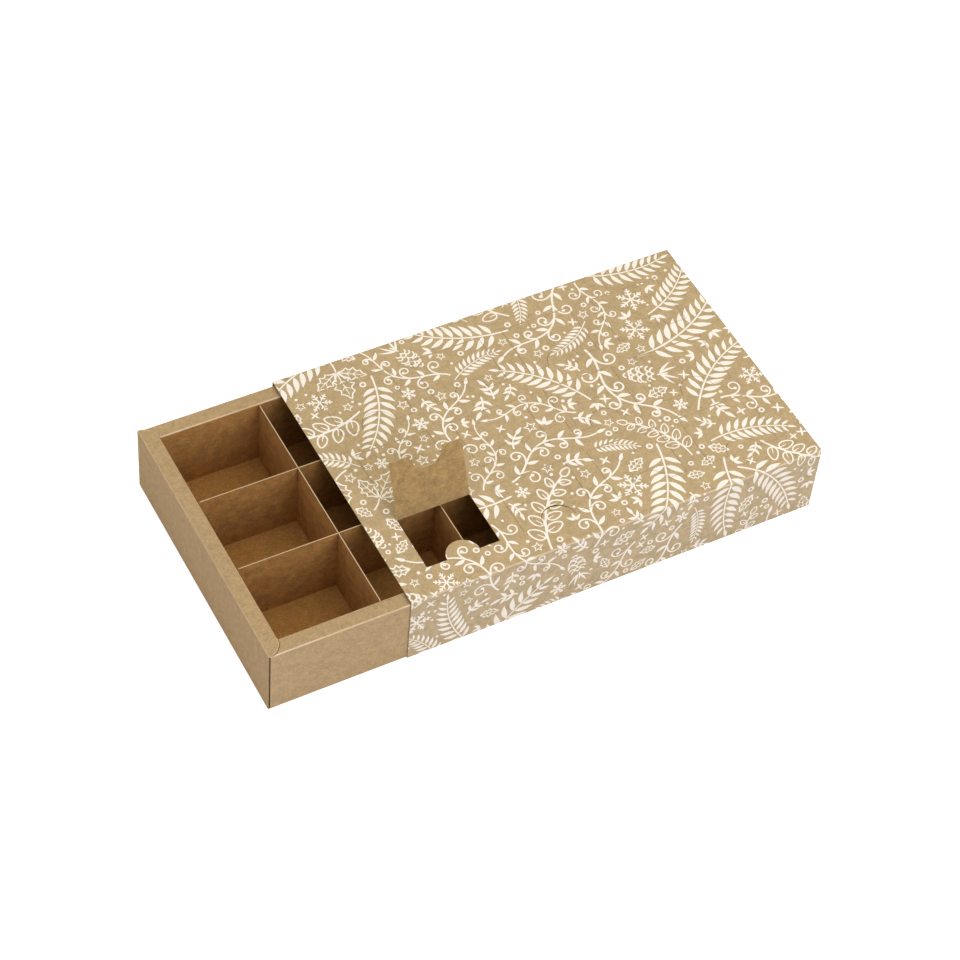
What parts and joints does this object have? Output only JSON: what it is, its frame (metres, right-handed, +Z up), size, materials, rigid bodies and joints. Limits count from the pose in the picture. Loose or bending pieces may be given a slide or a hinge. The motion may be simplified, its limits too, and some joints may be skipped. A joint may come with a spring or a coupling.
{
  "type": "advent calendar box",
  "caption": "Slide box of printed kraft card: a sleeve with die-cut, crease-hinged doors in its top goes round a hollow-walled tray that a card grid divides into cells.",
  "frame": {"origin": "centre of the sleeve's underside", "axes": "+X along the slide, towards the far end that the tray moves to when it closes; +Y from the front to the back; +Z up"},
  "size_m": [0.383, 0.1954, 0.0925],
  "materials": {
    "sleeve_kraft": "matt uncoated kraft board, fibre-flecked, printed with white line ornament on the outside",
    "tray_kraft": "matt uncoated kraft board, unprinted, with paler creases",
    "divider_kraft": "matt uncoated kraft board, unprinted, with pale cut edges",
    "white_print": "matt white ink, printed on the kraft board"
  },
  "bodies": {
    "sleeve": {"sleeve_top": "sleeve_kraft", "sleeve_front": "sleeve_kraft", "sleeve_back": "sleeve_kraft", "sleeve_bottom": "sleeve_kraft", "sleeve_glue_flap": "sleeve_kraft"},
    "tray": {"tray_floor": "tray_kraft", "tray_front_wall": "tray_kraft", "tray_back_wall": "tray_kraft", "tray_left_wall": "tray_kraft", "tray_right_wall": "tray_kraft", "divider_long_front": "divider_kraft", "divider_long_back": "divider_kraft", "divider_cross_1": "divider_kraft", "divider_cross_2": "divider_kraft", "divider_cross_3": "divider_kraft"},
    "door_front_1": {"door_front_1": "sleeve_kraft"},
    "door_front_2": {"door_front_2": "sleeve_kraft"},
    "door_front_3": {"door_front_3": "sleeve_kraft"},
    "door_front_4": {"door_front_4": "sleeve_kraft"},
    "door_middle_1": {"door_middle_1": "sleeve_kraft"},
    "door_middle_2": {"door_middle_2": "sleeve_kraft"},
    "door_middle_3": {"door_middle_3": "sleeve_kraft"},
    "door_middle_4": {"door_middle_4": "sleeve_kraft"},
    "door_back_1": {"door_back_1": "sleeve_kraft"},
    "door_back_2": {"door_back_2": "sleeve_kraft"},
    "door_back_3": {"door_back_3": "sleeve_kraft"},
    "door_back_4": {"door_back_4": "sleeve_kraft"}
  },
  "joints": [
    {"name": "tray_slide", "type": "slide", "parent": "sleeve", "child": "tray", "axis": [1, 0, 0], "range_m": [-0.195, 0.0935]},
    {"name": "door_front_1_hinge", "type": "hinge", "parent": "sleeve", "child": "door_front_1", "pos_m": [-0.09945, -0.03675, 0.055], "axis": [-1, 0, 0], "range_deg": [-112, 63]},
    {"name": "door_front_2_hinge", "type": "hinge", "parent": "sleeve", "child": "door_front_2", "pos_m": [-0.03315, -0.03675, 0.055], "axis": [-1, 0, 0], "range_deg": [0, 175]},
    {"name": "door_front_3_hinge", "type": "hinge", "parent": "sleeve", "child": "door_front_3", "pos_m": [0.03315, -0.03675, 0.055], "axis": [-1, 0, 0], "range_deg": [0, 175]},
    {"name": "door_front_4_hinge", "type": "hinge", "parent": "sleeve", "child": "door_front_4", "pos_m": [0.09945, -0.03675, 0.055], "axis": [-1, 0, 0], "range_deg": [0, 175]},
    {"name": "door_middle_1_hinge", "type": "hinge", "parent": "sleeve", "child": "door_middle_1", "pos_m": [-0.09945, 0.02025, 0.055], "axis": [-1, 0, 0], "range_deg": [0, 175]},
    {"name": "door_middle_2_hinge", "type": "hinge", "parent": "sleeve", "child": "door_middle_2", "pos_m": [-0.03315, 0.02025, 0.055], "axis": [-1, 0, 0], "range_deg": [0, 175]},
    {"name": "door_middle_3_hinge", "type": "hinge", "parent": "sleeve", "child": "door_middle_3", "pos_m": [0.03315, 0.02025, 0.055], "axis": [-1, 0, 0], "range_deg": [0, 175]},
    {"name": "door_middle_4_hinge", "type": "hinge", "parent": "sleeve", "child": "door_middle_4", "pos_m": [0.09945, 0.02025, 0.055], "axis": [-1, 0, 0], "range_deg": [0, 175]},
    {"name": "door_back_1_hinge", "type": "hinge", "parent": "sleeve", "child": "door_back_1", "pos_m": [-0.09945, 0.07725, 0.055], "axis": [-1, 0, 0], "range_deg": [0, 175]},
    {"name": "door_back_2_hinge", "type": "hinge", "parent": "sleeve", "child": "door_back_2", "pos_m": [-0.03315, 0.07725, 0.055], "axis": [-1, 0, 0], "range_deg": [0, 175]},
    {"name": "door_back_3_hinge", "type": "hinge", "parent": "sleeve", "child": "door_back_3", "pos_m": [0.03315, 0.07725, 0.055], "axis": [-1, 0, 0], "range_deg": [0, 175]},
    {"name": "door_back_4_hinge", "type": "hinge", "parent": "sleeve", "child": "door_back_4", "pos_m": [0.09945, 0.07725, 0.055], "axis": [-1, 0, 0], "range_deg": [0, 175]}
  ]
}
